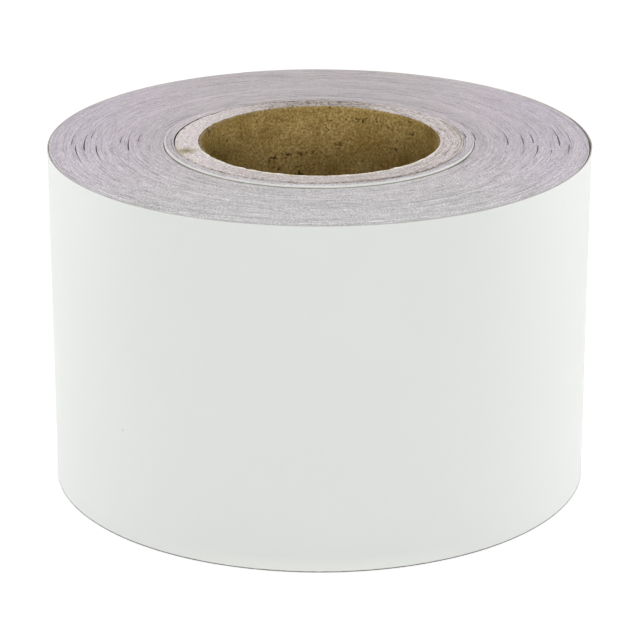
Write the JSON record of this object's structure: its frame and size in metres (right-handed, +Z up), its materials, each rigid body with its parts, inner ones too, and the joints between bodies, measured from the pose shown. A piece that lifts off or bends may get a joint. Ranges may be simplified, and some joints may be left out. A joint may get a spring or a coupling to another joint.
{
  "type": "roll of sign vinyl",
  "caption": "Roll of self-adhesive sign vinyl wound on a paperboard core, its outer end held by tape; the end lifts and unrolls, and the film peels off its liner.",
  "frame": {"origin": "on the roll's axis, in the plane of the end that it stands on", "axes": "+Z up along the roll's axis; +X and +Y across it, with the web's outer end behind the axis, towards +Y"},
  "size_m": [0.1732, 0.1734, 0.1117],
  "materials": {
    "kraft_ply": "matte, mottled, with dark and light fibre specks",
    "grey_board": "matte, fuzzy cut edge with fine ply lines",
    "core_outer_paper": "matte, fuzzy cut edge",
    "adhesive_tape": "satin, faintly yellow",
    "wound_web": "matte cut edges of film, grey adhesive and liner in fine concentric lines",
    "release_liner": "satin, silicone coated",
    "face_film": "smooth satin off-white"
  },
  "bodies": {
    "roll": {"core_inner_ply": "kraft_ply", "core_wall_inner": "grey_board", "core_wall_outer": "grey_board", "core_outer_ply": "core_outer_paper", "start_tape": "adhesive_tape", "first_wraps": "wound_web", "raised_wraps": "wound_web", "winding_1": "wound_web", "winding_2": "wound_web", "winding_3": "wound_web", "winding_4": "wound_web", "winding_5": "wound_web", "winding_6": "wound_web", "outer_wrap_liner": "release_liner", "outer_wrap_film": "face_film"},
    "tail_1": {"tail_liner_1": "release_liner", "tail_film_1": "face_film"},
    "tail_2": {"tail_liner_2": "release_liner", "tail_film_2": "face_film"},
    "tail_3": {"tail_liner_3": "release_liner", "tail_film_3": "face_film"},
    "tail_4": {"tail_liner_4": "release_liner", "tail_film_4": "face_film"},
    "tail_5": {"tail_liner_5": "release_liner", "tail_film_5": "face_film"},
    "tail_6": {"tail_liner_6": "release_liner", "tail_film_6": "face_film"},
    "film_flap": {"film_flap": "face_film", "end_tape": "adhesive_tape"},
    "tape_tab": {"end_tape_tab": "adhesive_tape"}
  },
  "joints": [
    {"name": "tail_hinge_1", "type": "hinge", "parent": "roll", "child": "tail_1", "pos_m": [0.07511, 0.04336, 0.0555], "axis": [0, 0, -1], "range_deg": [0, 12]},
    {"name": "tail_hinge_2", "type": "hinge", "parent": "tail_1", "child": "tail_2", "pos_m": [0.06446, 0.05804, 0.0555], "axis": [0, 0, -1], "range_deg": [0, 12]},
    {"name": "tail_hinge_3", "type": "hinge", "parent": "tail_2", "child": "tail_3", "pos_m": [0.05099, 0.07018, 0.0555], "axis": [0, 0, -1], "range_deg": [0, 12]},
    {"name": "tail_hinge_4", "type": "hinge", "parent": "tail_3", "child": "tail_4", "pos_m": [0.03529, 0.07926, 0.0555], "axis": [0, 0, -1], "range_deg": [0, 12]},
    {"name": "tail_hinge_5", "type": "hinge", "parent": "tail_4", "child": "tail_5", "pos_m": [0.01804, 0.08488, 0.0555], "axis": [0, 0, -1], "range_deg": [0, 12]},
    {"name": "tail_hinge_6", "type": "hinge", "parent": "tail_5", "child": "tail_6", "pos_m": [0, 0.08678, 0.0555], "axis": [0, 0, -1], "range_deg": [0, 12]},
    {"name": "film_peel", "type": "hinge", "parent": "tail_6", "child": "film_flap", "pos_m": [-0.00907, 0.08631, 0.0555], "axis": [0, 0, -1], "range_deg": [0, 60]},
    {"name": "tape_peel", "type": "hinge", "parent": "film_flap", "child": "tape_tab", "pos_m": [-0.02685, 0.08265, 0.0555], "axis": [0, 0, -1], "range_deg": [0, 120]}
  ],
  "couplings": [
    {"joint": "tail_hinge_2", "follows": "tail_hinge_1", "ratio": 1},
    {"joint": "tail_hinge_3", "follows": "tail_hinge_1", "ratio": 1},
    {"joint": "tail_hinge_4", "follows": "tail_hinge_1", "ratio": 1},
    {"joint": "tail_hinge_5", "follows": "tail_hinge_1", "ratio": 1},
    {"joint": "tail_hinge_6", "follows": "tail_hinge_1", "ratio": 1}
  ]
}
